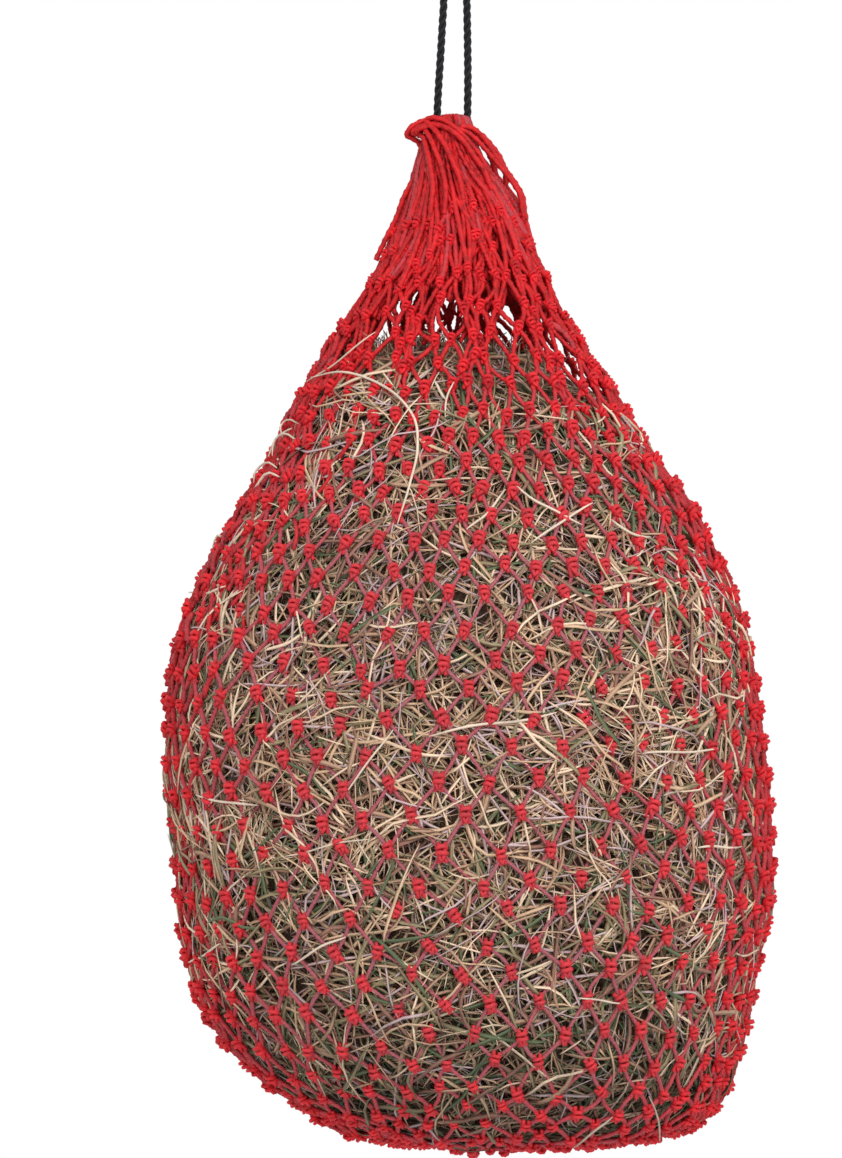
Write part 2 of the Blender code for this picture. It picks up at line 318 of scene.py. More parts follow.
# Painted shade: the core's dark colours stand for the shade deep among the stems.
def painted_shade_core_material():
    nodes = Nodes("hay_core_painted_shade", 0.9)
    fine = nodes.noise(scale=260.0, detail=6.0, roughness=0.75)
    return nodes.finish(nodes.ramp(fine, list(zip((0.35, 0.5, 0.7), PAINTED_SHADE_CORE_COLOURS))), fine, 0.004, 1.0)


# --- meshes made with arrays ---


def unit(vectors):
    length = np.linalg.norm(vectors, axis=-1, keepdims=True)
    return vectors / np.maximum(length, 1e-12)


class Piece:
    """Gathers points and faces, then makes one object of them."""

    def __init__(self):
        self.points = []
        self.dust = []
        self.faces = []
        self.slots = []
        self.count = 0

    def add(self, points, faces, dust=0.0, slot=0):
        self.points.append(points)
        self.dust.append(np.broadcast_to(dust, len(points)))
        for group in faces:
            self.faces.append(group + self.count)
            self.slots.append(np.full(len(group), slot))
        self.count += len(points)

    def add_twine(self, paths, ups, radii, dust=0.0, sides=6, lay=TWINE_LAY):
        """Twisted twine along each path, with its dust at the points of the paths."""
        points, faces = sweep(paths, ups, radii, sides, lay=lay, lobe=TWINE_LOBE)
        self.add(points, faces, np.repeat(np.broadcast_to(dust, paths.shape[:2]).ravel(), sides))

    def make(self, name, materials, body, replaced=()):
        mesh = bpy.data.meshes.new(name)
        points = np.concatenate(self.points)
        totals = np.concatenate([np.full(len(group), group.shape[1]) for group in self.faces])
        corners = np.concatenate([group.ravel() for group in self.faces])
        mesh.vertices.add(len(points))
        mesh.vertices.foreach_set("co", points.astype(np.float32).ravel())
        mesh.loops.add(len(corners))
        mesh.loops.foreach_set("vertex_index", corners.astype(np.int32))
        mesh.polygons.add(len(totals))
        starts = np.concatenate([[0], np.cumsum(totals)[:-1]])
        mesh.polygons.foreach_set("loop_start", starts.astype(np.int32))
        mesh.polygons.foreach_set("material_index", np.concatenate(self.slots).astype(np.int32))
        mesh.update(calc_edges=True)
        layer = mesh.attributes.new("dust", "FLOAT", "POINT")
        layer.data.foreach_set("value", np.concatenate(self.dust).astype(np.float32))
        mesh.shade_smooth()
        for material in materials:
            mesh.materials.append(material)
        item = add_object(name, mesh)
        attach(item, body)
        if replaced:
            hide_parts(*replaced)
        return item


def path_lengths(paths):
    """Length along each path at each of its points."""
    steps = np.linalg.norm(np.diff(paths, axis=-2), axis=-1)
    return np.concatenate([np.zeros((*steps.shape[:-1], 1)), np.cumsum(steps, axis=-1)], axis=-1)


def sweep(paths, ups, radii, sides, flat=1.0, lay=None, lobe=0.0):
    """Closed tubes along paths (tubes, points, 3), flat times as thick along ups as across them.

    With a lay, every other corner stands out by lobe and they turn round the path once in each lay.
    """
    tubes, count = paths.shape[:2]
    tangent = unit(np.gradient(paths, axis=1))
    side = unit(np.cross(tangent, ups))
    up = np.cross(side, tangent)
    angle = np.broadcast_to(TURN * np.arange(sides) / sides, (tubes, count, sides))
    if lay:
        angle = angle + (path_lengths(paths) * TURN / lay)[..., None]
    bulge = 1 + lobe * np.where(np.arange(sides) % 2, -1.0, 1.0)
    reach = np.broadcast_to(radii, (tubes, count))[..., None] * bulge
    across = (reach * np.cos(angle))[..., None] * side[:, :, None]
    along = (reach * np.sin(angle))[..., None] * up[:, :, None]
    rings = paths[:, :, None] + across + flat * along
    number = np.arange(tubes * count * sides).reshape(tubes, count, sides)
    here, turned = number[:, :-1], np.roll(number, -1, axis=2)
    quads = np.stack([here, number[:, 1:], turned[:, 1:], turned[:, :-1]], axis=-1).reshape(-1, 4)
    return rings.reshape(-1, 3), [quads, number[:, 0], number[:, -1, ::-1]]


def circle(turn, height=0.0):
    """Points round a level circle of radius 1."""
    return np.stack([np.cos(turn), np.sin(turn), np.broadcast_to(height, turn.shape)], axis=1)


def metres(route):
    return np.array(route) / 1000


def smooth_path(points, spacing):
    """Even points along a smooth curve through the given ones."""
    points = np.asarray(points, float)
    lengths = path_lengths(points)
    slopes = np.gradient(points, lengths, axis=0)
    fine = np.linspace(0, lengths[-1], 40 * len(points))
    index = np.clip(np.searchsorted(lengths, fine, "right") - 1, 0, len(points) - 2)
    span = (lengths[index + 1] - lengths[index])[:, None]
    share = (fine - lengths[index])[:, None] / span
    curve = (
        (2 * share**3 - 3 * share**2 + 1) * points[index]
        + (share**3 - 2 * share**2 + share) * span * slopes[index]
        + (3 * share**2 - 2 * share**3) * points[index + 1]
        + (share**3 - share**2) * span * slopes[index + 1]
    )
    measured = path_lengths(curve)
    count = max(3, round(measured[-1] / spacing) + 1)
    even = np.linspace(0, measured[-1], count)
    return np.stack([np.interp(even, measured, curve[:, axis]) for axis in range(3)], axis=1)


def carried_ups(path):
    """Directions across the path that turn with it and don't twist about it."""
    tangent = unit(np.gradient(path, axis=0))
    start = np.array((0.0, 1.0, 0.0)) if abs(tangent[0][1]) < 0.9 else np.array((1.0, 0.0, 0.0))
    ups = [unit(start - tangent[0] * start.dot(tangent[0]))]
    for direction in tangent[1:]:
        ups.append(unit(ups[-1] - direction * ups[-1].dot(direction)))
    return np.array(ups)


# --- the draw cord ---

STRANDS = 3
STRAND_SHARE = 0.250  # strand radius over cord diameter
STRAND_OFFSET = 0.265  # from the cord's middle to a strand's, over cord diameter
STRAND_SIDES = 8
STRAND_TIP = 0.6  # how far a strand's cut ends narrow
ROPE_STEP = 0.0012
KNOT_STEPS = 121
RING_STEPS = 72

LOOP_ROUTE = (
    (-3.5, 0, -78), (-5.5, 0, -71), (-9, 0, -60), (-14.5, 0, -44), (-16.5, 0, -26), (-14, 0, -9),
    (-7.5, 0, 0.5), (0, 0, 3), (7.5, 0, 0.5), (14, 0, -9), (16, 0, -26), (12.5, 0, -44), (6, 0, -60),
    (2, 0, -71), (0, 0, -78),
)
LEFT_RUN_ROUTE = (
    (-4.5, 0, -90), (-6.6, 0, -99.2), (-9.2, 0, -112), (-11.5, 0, -127), (-12.8, 0, -145),
    (-14.6, 0, -175), (-16.5, 0, -205), (-17.6, 0, -228.3),
)
RIGHT_RUN_ROUTE = (
    (0.5, 0, -90), (2.6, 0, -99.2), (4, 0, -112), (5, 0, -127), (5.4, 0, -145), (5.9, 0, -175),
    (6, 0, -205), (5.6, 0, -228.3),
)
LEFT_TAIL_ROUTE = (
    (-11, 1, -88.5), (-18, 2, -90.5), (-23.5, 3, -94), (-27, 3.5, -101), (-28.5, 3.5, -112),
    (-28.8, 3.5, -125),
)
RIGHT_TAIL_ROUTE = (
    (7, -1, -88.5), (14, -2, -90.5), (19.5, -3, -94), (23.2, -3.5, -100.5), (24.8, -3.5, -110),
    (25, -3.5, -119),
)
CORDS = {  # each cord's route, body, CAD solid, far end and lay
    "hanging_loop_cord": (LOOP_ROUTE, "hanging_loop", "hanging_loop", "knot", "taut"),
    "cord_left": (LEFT_RUN_ROUTE[::-1], "net_bag", "cord_run_left", "knot", "taut"),
    "cord_right": (RIGHT_RUN_ROUTE[::-1], "net_bag", "cord_run_right", "knot", "taut"),
    "tail_left": (LEFT_TAIL_ROUTE, "cord_tails", "cord_tail_left", "bare", "hanging"),
    "tail_right": (RIGHT_TAIL_ROUTE, "cord_tails", "cord_tail_right", "bare", "hanging"),
}
KNOT_TURN = 0.0072  # the knot's turns about its middle
KNOT_WAVE = 0.0042


def rope(piece, path, lay=CORD_LAY, ups=None):
    """Strands laid round a path, as a twisted cord."""
    ups = carried_ups(path) if ups is None else ups
    side = np.cross(unit(np.gradient(path, axis=0)), ups)
    turn = TURN * path_lengths(path) / lay
    for strand in range(STRANDS):
        angle = (turn + TURN * strand / STRANDS)[:, None]
        outward = np.cos(angle) * ups + np.sin(angle) * side
        centre = path + outward * CORD_DIAMETER * STRAND_OFFSET
        radii = np.full(len(path), CORD_DIAMETER * STRAND_SHARE)
        radii[[0, -1]] *= STRAND_TIP
        piece.add(*sweep(centre[None], outward[None], radii[None], STRAND_SIDES))


def path_length(path):
    return float(np.linalg.norm(np.diff(path, axis=0), axis=1).sum())


def add_rope(name, path, material, body, node, **twist):
    piece = Piece()
    rope(piece, path, **twist)
    return piece.make(name, [material], body, (node,))


def knot_path(centre):
    """An overhand knot drawn tight, facing the front."""
    turn = np.linspace(0, TURN, KNOT_STEPS)
    reach = KNOT_TURN + KNOT_WAVE * np.cos(3 * turn)
    across, along, up = reach * np.cos(2 * turn), KNOT_WAVE * np.sin(3 * turn), reach * np.sin(2 * turn)
    return np.asarray(centre) + np.stack([across, along, up], axis=1)


def box_centre(node):
    low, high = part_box(node)
    return np.array((low + high) / 2)


def mouth_ring_radius():
    low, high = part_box("mouth_cord_ring")
    return (high.x - low.x) / 2 - CORD_DIAMETER / 2


def build_cords():
    material = cord_material()
    knot = add_rope("loop_knot_turns", knot_path(box_centre("loop_knot")), material, "loop_knot", "loop_knot")
    made = {}
    for name, (route, body, node, _, _) in CORDS.items():
        path = smooth_path(metres(route), ROPE_STEP)
        made[name] = (add_rope(name, path, material, body, node), path)
    for name in sorted(CORDS):
        cord, path = made[name]

    radius = mouth_ring_radius()
    turn = np.linspace(0, TURN, RING_STEPS)
    add_rope("mouth_cord", box_centre("mouth_cord_ring") + radius * circle(turn), material, "net_bag",
             "mouth_cord_ring", lay=TURN * radius / 4, ups=np.tile((0.0, 0.0, 1.0), (len(turn), 1)))


# --- the bag's surface, read from the CAD solids ---

AZIMUTHS = 24  # the CAD solids' corners round the bag
FINE_AZIMUTHS = 144
FINE_ROWS = 321
OUTSIDE = 0.8  # rays start this far out
MOUTH_INSET = 0.0005  # the first ring of rays lies this far below the top of the mouth
LEVELS = 70  # rings of rays from the mouth down to where the bag turns under
BASE_LEANS = 60  # and from there to the middle of its base
HAY_LEANS = 140  # rings of rays from the crown of the hay to its base
SOFTENING = 5  # passes that even out the steps between flat faces
RIPPLE_PEAK = 2.5  # the height, in standard deviations, where ripples are cut off
NET_NODES = ("mouth_loops", "net_neck", "net_upper", "net_middle", "net_lower", "net_base")
HAY_NODES = ("hay_crown", "hay_upper", "hay_middle", "hay_lower", "hay_base")


def tree_of(nodes):
    points, faces = [], []
    for node in nodes:
        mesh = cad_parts[node].data
        start = len(points)
        points += [vertex.co.copy() for vertex in mesh.vertices]
        faces += [tuple(start + index for index in face.vertices) for face in mesh.polygons]
    return BVHTree.FromPolygons(points, faces)


def hit(tree, centre, direction):
    """The outermost point of the solids on a line out of centre."""
    direction = Vector(direction).normalized()
    found = tree.ray_cast(Vector(centre) + direction * OUTSIDE, -direction)[0]
    return Vector(centre) if found is None else found


def ring_hits(tree, centre, out_share, axis_share, axis, depth):
    """A ring of hits: each ray leans from straight out towards the axis."""
    hits = []
    for step in range(AZIMUTHS):
        angle = TURN * step / AZIMUTHS
        outward = Vector((math.cos(angle), depth * math.sin(angle), 0.0))
        hits.append(hit(tree, centre, outward * out_share + axis * axis_share))
    return hits


class Skin:
    """A closed-round surface: points by length down it and angle round it."""

    def __init__(self, rows):
        rows = np.array(rows, float)
        spectrum = np.fft.rfft(rows, axis=1)
        rows = np.fft.irfft(spectrum, FINE_AZIMUTHS, axis=1) * (FINE_AZIMUTHS / AZIMUTHS)
        steps = np.linalg.norm(np.diff(rows, axis=0), axis=2)
        lengths = np.concatenate([np.zeros((1, FINE_AZIMUTHS)), np.cumsum(steps, axis=0)])
        self.length = float(lengths[-1].mean())
        share = np.linspace(0, 1, FINE_ROWS)
        grid = np.empty((FINE_ROWS, FINE_AZIMUTHS, 3))
        for column in range(FINE_AZIMUTHS):
            measured = lengths[:, column] / lengths[-1, column]
            for axis in range(3):
                grid[:, column, axis] = np.interp(share, measured, rows[:, column, axis])
        self.grid = soften(grid, SOFTENING)
        down = np.gradient(self.grid, axis=0)
        around = (np.roll(self.grid, -1, axis=1) - np.roll(self.grid, 1, axis=1)) / 2
        self.normals = unit(np.cross(down, around))
        self.around = np.linalg.norm(around, axis=2) * FINE_AZIMUTHS / TURN
        self.area = np.linalg.norm(np.cross(down, around), axis=2)

    def read(self, values, length, angle):
        """Values on the grid, mixed between its four nearest points."""
        row = np.clip(length / self.length, 0, 1) * (FINE_ROWS - 1)
        column = (angle / TURN * FINE_AZIMUTHS) % FINE_AZIMUTHS
        top = np.minimum(row.astype(int), FINE_ROWS - 2)
        left = column.astype(int) % FINE_AZIMUTHS
        right = (left + 1) % FINE_AZIMUTHS
        down, across = row - top, column - np.floor(column)
        if values.ndim == 3:
            down, across = down[..., None], across[..., None]
        upper = values[top, left] * (1 - across) + values[top, right] * across
        lower = values[top + 1, left] * (1 - across) + values[top + 1, right] * across
        return upper * (1 - down) + lower * down

    def at(self, length, angle, out=0.0):
        length, angle = np.broadcast_arrays(length, angle)
        normal = unit(self.read(self.normals, length, angle))
        out = np.broadcast_to(out, length.shape)[..., None]
        return self.read(self.grid, length, angle) + normal * out

    def normal(self, length, angle):
        return unit(self.read(self.normals, *np.broadcast_arrays(length, angle)))

    def radius(self, length, angle):
        """Distance moved for each radian round the surface."""
        return self.read(self.around, *np.broadcast_arrays(length, angle))


def soften(grid, passes):
    """Evens out the steps between the CAD solids' flat faces, keeping both ends."""
    for _ in range(passes):
        inner = (grid[:-2] + 2 * grid[1:-1] + grid[2:]) / 4
        grid = np.concatenate([grid[:1], inner, grid[-1:]])
    return grid


def net_skin():
    """From the gathered mouth, level by level, then fanning round the base."""
    tree = tree_of(NET_NODES + HAY_NODES)
    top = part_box("mouth_loops")[1].z - MOUTH_INSET
    turn_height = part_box("net_lower")[1].z
    base = Vector(box_centre("base_gather_cord"))
    rows = []
    for height in np.linspace(top, turn_height, LEVELS):
        right = hit(tree, (0.0, 0.0, height), (1, 0, 0))
        left = hit(tree, (0.0, 0.0, height), (-1, 0, 0))
        front = hit(tree, ((left.x + right.x) / 2, 0.0, height), (0, -1, 0))
        centre = Vector(((left.x + right.x) / 2, 0.0, height))
        depth = -front.y / ((right.x - left.x) / 2)
        rows.append(ring_hits(tree, centre, 1.0, 0.0, Vector((0, 0, -1)), depth))
    towards_base = (base - centre).normalized()
    for lean in np.linspace(0, math.pi / 2, BASE_LEANS)[1:]:
        rows.append(ring_hits(tree, centre, math.cos(lean), math.sin(lean), towards_base, depth))
    return Skin(rows)


def hay_skin():
    """From the crown's top, over it and down to the base."""
    tree = tree_of(HAY_NODES)
    centre = box_centre("hay_middle")
    low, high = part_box("hay_middle")
    crown = max((vertex.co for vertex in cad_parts["hay_crown"].data.vertices), key=lambda co: co.z)
    towards_top = (crown - Vector(centre)).normalized()
    towards_base = (Vector(box_centre("base_gather_cord")) - Vector(centre)).normalized()
    depth = (high.y - low.y) / (high.x - low.x)
    rows = []
    for lean in np.linspace(math.pi / 2, -math.pi / 2, HAY_LEANS):
        axis = towards_top if lean > 0 else towards_base
        rows.append(ring_hits(tree, centre, math.cos(lean), abs(math.sin(lean)), axis, depth))
    return Skin(rows)


def ripples(skin, random, waves, finest):
    """A smooth random height from -1 to 1 at each point of a skin's grid."""
    rows = np.linspace(0, skin.length, FINE_ROWS)[:, None]
    columns = np.linspace(0, TURN, FINE_AZIMUTHS, endpoint=False)[None, :]
    radius = skin.around.mean()
    height = np.zeros((FINE_ROWS, FINE_AZIMUTHS))
    for _ in range(waves):
        number = TURN / random.uniform(finest, 4 * finest)
        heading = random.uniform(0, TURN)
        around = round(number * radius * math.sin(heading))
        height += np.cos(rows * number * math.cos(heading) + around * columns + random.uniform(0, TURN))
    return np.clip(height / (RIPPLE_PEAK * height.std()), -1, 1)


# --- netting ---

BAR_POINTS = 11
KNOT_UNIT = 0.00146  # the knot's drawn unit: one radius of its twine
KNOT_SIDES = 5
KNOT_BIGHT = (
    (-1.7, 4.4, -0.9), (-1.3, 2.9, -0.1), (-1.1, 0.8, 0.5), (-0.9, -1.7, 0.9), (0.0, -3.6, 1.1),
    (0.9, -1.7, 0.9), (1.1, 0.8, 0.5), (1.3, 2.9, -0.1), (1.7, 4.4, -0.9),
)
KNOT_WRAP = (
    (-1.7, -4.4, -0.9), (-1.2, -2.9, -0.9), (-0.4, -0.6, -1.1), (-1.2, 1.3, -1.1), (-2.1, 2.2, 0.2),
    (-1.2, 2.7, 1.9), (0.5, 2.9, 2.3), (1.8, 2.5, 1.3), (2.1, 1.7, -0.2), (0.5, 0.6, -1.2),
    (-1.9, -0.4, -0.4), (-1.9, -0.1, 1.3), (-0.2, 0.3, 2.5), (1.6, 0.2, 2.0), (2.2, -0.6, 0.3),
    (1.3, -2.0, -0.9), (1.3, -3.1, -0.9), (1.7, -4.4, -0.9),
)
KNOT_VARIANTS = 6
KNOT_SIZES = (0.95, 1.18)  # from the smallest to the largest
KNOT_TILT = 0.28  # usual turn of a knot from upright, in radians
SLACK_KNOTS = 0.24  # how much smaller the knots are drawn in the neck
PLEATS = (  # how deep, turned by how much, and down to which row
    (0.0050, 0.075, 4),
    (0.0100, 0.035, 2),
    (0.0075, 0.115, 2),
)
FOLD_ENDS = (-0.68, -0.56)  # heights between which the folds at the sides begin
RIGHT_FOLDS = 0.3  # of the folds at the left
FOLD_NARROWNESS = 8
UPPER_BAR = 0.83  # how much shorter the meshes look above the bag's widest part
LOWER_BAR = 0.75  # and where the bag turns under
UPPER_ENDS = (0.30, 0.50)  # lengths down the bag over which the upper meshes end
LOWER_ENDS = (0.26, 0.16)  # lengths up from its base over which the lower ones begin
BASE_TURN = (0.26, 0.14)  # lengths up from the base over which the bag turns under
CROWDING_ENDS = (0.35, 0.62)  # lengths down the bag between its two amounts of side crowding
SPREAD_RADIUS = 0.15  # knots wander less where the bag is narrower than this
SLACK_LIFT = (-0.0080, 0.0006)  # how far in and out the slack knots lie
FOLD_DUST = 0.35
FOLD_THICKNESS = 1.1


def knot_template(random, mirror):
    """The netting's knot, a sheet bend: its bight and the two turns round it."""
    piece = Piece()
    for route, segments in ((KNOT_BIGHT, 8), (KNOT_WRAP, 19)):
        points = np.array(route) + random.normal(0, 0.13, (len(route), 3))
        path = smooth_path(points * (mirror, 1, 1), path_length(points) / segments)
        piece.add(*sweep(path[None], carried_ups(path)[None], 1.05, KNOT_SIDES))
    return piece


def add_knots(piece, template, centres, sides, downs, outs, sizes, dust=0.0, slot=0):
    """Copies of the knot, each turned to its own place on the net."""
    local = np.concatenate(template.points)
    axes = np.stack([sides, -downs, outs], axis=1)
    points = centres[:, None] + np.einsum("pk,nkc->npc", local, axes) * sizes[:, None, None]
    shift = (np.arange(len(centres)) * len(local))[:, None, None]
    faces = [(group[None] + shift).reshape(-1, group.shape[1]) for group in template.faces]
    piece.add(points.reshape(-1, 3), faces, dust, slot)


def smooth_step(value, low, high):
    share = np.clip((value - low) / (high - low), 0, 1)
    return share * share * (3 - 2 * share)


def near_base(skin, length, ends=BASE_TURN):
    """From 0 to 1 between two lengths up from the end of a skin."""
    return smooth_step(length, skin.length - ends[0], skin.length - ends[1])


def shortest(turn):
    """The same turn, the short way round."""
    return (turn + np.pi) % TURN - np.pi


def between(start, change, share):
    """Values from each start, changed by shares of its change."""
    return start[:, None] + change[:, None] * share


class Net:
    """The netting's rows of knots on the bag's surface, and the twine between them."""

    def __init__(self, skin, random):
        self.skin = skin
        self.random = random
        self.lumps = ripples(skin, random, 60, 0.07)
        self.slip = [ripples(skin, random, 40, 0.05) for _ in range(2)]
        self.templates = [knot_template(random, 1 - 2 * (index % 2)) for index in range(KNOT_VARIANTS)]
        self.rows = self.place_rows()

    def slack(self, length, angle=BACK_ANGLE):
        """From 1 in the neck to 0 where the hay fills the net, and between at the bag's sides."""
        neck = 1 - smooth_step(length, *SLACK_ENDS)
        bottom = BASE_SLACK * near_base(self.skin, length)
        return np.maximum(neck + bottom, SIDE_SLACK * np.cos(angle) ** 4)

    def wear(self, length):
        """From 0 in the neck to 1 round the fullest part of the bag."""
        return smooth_step(length, *WEAR_ENDS) * (1 - self.slack(length))

    def twine_radius(self, length, angle):
        looseness = np.maximum(self.slack(length, angle), 0.5 * (1 - self.wear(length)))
        return TWINE_RADIUS + (SLACK_TWINE_RADIUS - TWINE_RADIUS) * looseness

    def out(self, length, angle):
        """How far out the twine lies: the hay pushes it about below the neck."""
        lumps = self.skin.read(self.lumps, *np.broadcast_arrays(length, angle))
        return -NET_INSET + LUMP * (1 - self.slack(length)) * lumps

    def dust(self, length, angle, least, most):
        """Worn where the hay rubs it, less so at the sides of the bag."""
        return self.wear(length) * (most - (most - least) * np.cos(angle) ** 4)

    def mean_radius(self, length):
        angles = np.linspace(0, TURN, 48, endpoint=False)
        return float(self.skin.radius(np.full(48, length), angles).mean())

    def place_rows(self):
        rows = []
        length = FIRST_KNOTS
        while True:
            radius = self.mean_radius(length)
            if length > self.skin.length / 2 and radius < LAST_KNOT_RADIUS:
                break
            rows.append(self.place_row(length, len(rows), radius))
            half_width = math.pi * radius / MESHES_ROUND
            step = math.sqrt(max(MESH_BAR**2 - half_width**2, (0.6 * MESH_BAR) ** 2))
            above = 1 - smooth_step(length, *UPPER_ENDS)
            below = near_base(self.skin, length, LOWER_ENDS)
            length += step * (1 - (1 - UPPER_BAR) * above - (1 - LOWER_BAR) * below)
        return rows

    def place_row(self, length, index, radius):
        """Length, angle and lift of each knot in a row, shifted from even."""
        even = (np.arange(MESHES_ROUND) + 0.5 * (index % 2)) * TURN / MESHES_ROUND
        upper, lower = SIDE_CROWDING
        crowding = upper + (lower - upper) * smooth_step(length, *CROWDING_ENDS)
        angle = even - crowding * np.sin(2 * even)
        bunched = smooth_step(length, *BUNCHED_FROM) - smooth_step(length, *BUNCHED_TO)
        angle = angle + BUNCHING * bunched * np.sin(BUNCHES * angle)
        slack = self.slack(length)
        spread = min(radius / SPREAD_RADIUS, 1.0)
        place = np.full(MESHES_ROUND, length)
        down = self.wander(0, place, angle, wave=0.0060 + 0.0015 * slack, jitter=0.0016 + 0.0030 * slack)
        across = self.wander(1, place, angle, wave=0.0065 * spread, jitter=0.0015 * spread + 0.0020 * slack)
        lift = slack * self.random.uniform(*SLACK_LIFT, MESHES_ROUND)
        return place + down, angle + across / max(radius, 0.02), lift

    def wander(self, way, place, angle, wave, jitter):
        """How far each knot of a row has slipped: together in waves, and each by itself."""
        slipped = self.skin.read(self.slip[way], place, angle) * wave
        return slipped + self.random.normal(0, jitter, MESHES_ROUND)

    def bars(self, index):
        """Lengths, angles and lifts along the twine from one row of knots to the next."""
        length, angle, lift = self.rows[index]
        next_length, next_angle, next_lift = self.rows[index + 1]
        first = 0 if index % 2 else 1
        share = np.linspace(0, 1, BAR_POINTS)
        bow = np.sin(np.pi * share)
        parts = []
        for offset in (0, 1):
            other = np.roll(np.arange(MESHES_ROUND), first - offset)
            lengths = between(length, next_length[other] - length, share)
            angles = between(angle, shortest(next_angle[other] - angle), share)
            slack = self.slack(lengths, angles)
            aside = self.random.normal(0, 1.0, (MESHES_ROUND, 1)) * bow * (0.0012 + 0.0026 * slack)
            angles = angles + aside / np.maximum(self.skin.radius(lengths, angles), 0.02)
            sink = self.random.uniform(-0.0004, 0.0024, (MESHES_ROUND, 1)) * bow * (1 - slack)
            lifts = between(lift, next_lift[other] - lift, share)
            parts.append((lengths, angles, self.out(lengths, angles) + lifts - sink))
        return [np.concatenate(values) for values in zip(*parts)]

    def lay_twine(self, piece, lengths, angles, out, dust=0.0, sides=5, thickness=1.0):
        """Twine along places on the bag, each so far out from its surface."""
        radii = thickness * self.twine_radius(lengths, angles)
        paths = self.skin.at(lengths, angles, out)
        piece.add_twine(paths, self.skin.normal(lengths, angles), radii, dust, sides)

    def add_knot_row(self, piece, index):
        length, angle, lift = self.rows[index]
        out = self.skin.normal(length, angle)
        below = self.skin.at(length + 0.002, angle) - self.skin.at(length - 0.002, angle)
        down = unit(below - out * (below * out).sum(1, keepdims=True))
        side = np.cross(out, down)
        turn = self.random.normal(0, KNOT_TILT, MESHES_ROUND)[:, None]
        side, down = side * np.cos(turn) + down * np.sin(turn), down * np.cos(turn) - side * np.sin(turn)
        size = KNOT_UNIT * self.random.uniform(*KNOT_SIZES, MESHES_ROUND)
        size = size * (1 - SLACK_KNOTS * self.slack(length))
        centre = self.skin.at(length, angle, self.out(length, angle) + lift + 0.0010)
        dust = self.dust(length, angle, 0.0, 0.25)
        variant = self.random.integers(0, KNOT_VARIANTS, MESHES_ROUND)
        for number, template in enumerate(self.templates):
            chosen = variant == number
            corners = sum(len(points) for points in template.points)
            add_knots(piece, template, centre[chosen], side[chosen], down[chosen], out[chosen],
                      size[chosen], np.repeat(dust[chosen], corners), 1)

    def add_pleats(self, piece):
        """Folds of the gathered net lying just inside the neck."""
        for depth, turn, rows in PLEATS:
            for index in range(rows):
                gone = smooth_step(index, 0.4 * rows, rows)
                kept = self.random.random(2 * MESHES_ROUND) < 1 - gone
                lengths, angles, out = (values[kept] for values in self.bars(index))
                angles = angles + turn
                sway = self.random.uniform(0.5, 1.3, (len(out), 1))
                sunk = depth * sway * self.slack(lengths) + 0.004 * gone
                self.lay_twine(piece, lengths, angles, out - sunk)

    def add_side_folds(self, piece, first, last):
        """The slack netting bunched up at both sides of the bag."""
        for index in range(first, min(last, len(self.rows) - 1)):
            lengths, angles, out = self.bars(index)
            height = self.skin.at(lengths[:, 0], angles[:, 0])[:, 2]
            share = smooth_step(height, *FOLD_ENDS) * np.cos(angles[:, 0]) ** FOLD_NARROWNESS
            share *= np.where(np.cos(angles[:, 0]) > 0, RIGHT_FOLDS, 1.0)
            kept = self.random.random(len(angles)) < share
            lengths, angles, out = lengths[kept], angles[kept], out[kept]
            shift = self.random.uniform(-0.05, 0.05, (len(angles), 2))
            angles = angles + 0.04 + shift[:, :1]
            lengths = lengths + 0.2 * shift[:, 1:]
            lift = self.random.uniform(-0.001, 0.0035, (len(angles), 1))
            out = out + lift * np.sin(np.linspace(0, np.pi, BAR_POINTS))
            dust = self.random.uniform(0, FOLD_DUST, len(angles))[:, None]
            self.lay_twine(piece, lengths, angles, out, dust, thickness=FOLD_THICKNESS)

    def add_rows(self, piece, first, last):
        """Knots of rows first to last, and the bars below each of them."""
        for index in range(first, last):
            self.add_knot_row(piece, index)
            if index + 1 < len(self.rows):
                lengths, angles, out = self.bars(index)
                near_knots = np.abs(np.linspace(-1, 1, BAR_POINTS)) ** 3
                dust = self.dust(lengths, angles, 0.20, 1.0) * (1 - 0.55 * near_knots)
                dust = dust * self.random.uniform(0.75, 1.0, (len(dust), 1))
                self.lay_twine(piece, lengths, angles, out, dust, sides=6)


# --- the mouth and the base, where the meshes are drawn together ---

RING_TWINE_GAP = 0.0015  # twine radius clear of the cord
MOUTH_GAP = 0.20  # share of the mouth cord left bare, where its ends come out
MOUTH_BEND = 0.009  # length down the bag where the loops turn in over the cord
BASE_BEND = 0.012  # and up from its end, where they turn in under the base cord
MOUTH_LAYERS = 0.0035  # depth of the twine gathered on the mouth cord
BASE_LAYERS = 0.002
MOUTH_LEGS = (  # the row that the legs come from, how they cross, and the share of them there is
    (0, 0.25, 1.0),
    (1, -0.30, 0.55),
    (2, 0.10, 0.60),
)
BASE_RING_RADIUS = 0.0085
BASE_CORD_RADIUS = 0.002
BASE_CORD_LAY = 0.0133
BASE_KNOT_UNIT = 0.0009
WRAP_STEP = 0.0015
HOOK_POINTS = 7
LEG_POINTS = 24


def hook_over(centre, outward, ring_radius, cord_radius, layer, inner, rise):
    """Points from beside a ring of cord to over it, at one place along the ring for each loop."""
    turn = np.linspace(0, np.pi / 2, HOOK_POINTS)[None, :]
    clear = cord_radius + RING_TWINE_GAP
    reach = np.where(inner, -clear, clear + layer)[:, None] * np.cos(turn)
    up = (clear + layer)[:, None] * np.sin(turn) * rise
    flat = outward[:, None] * (ring_radius + reach)[..., None]
    return centre + flat + up[..., None] * np.array((0.0, 0.0, 1.0))


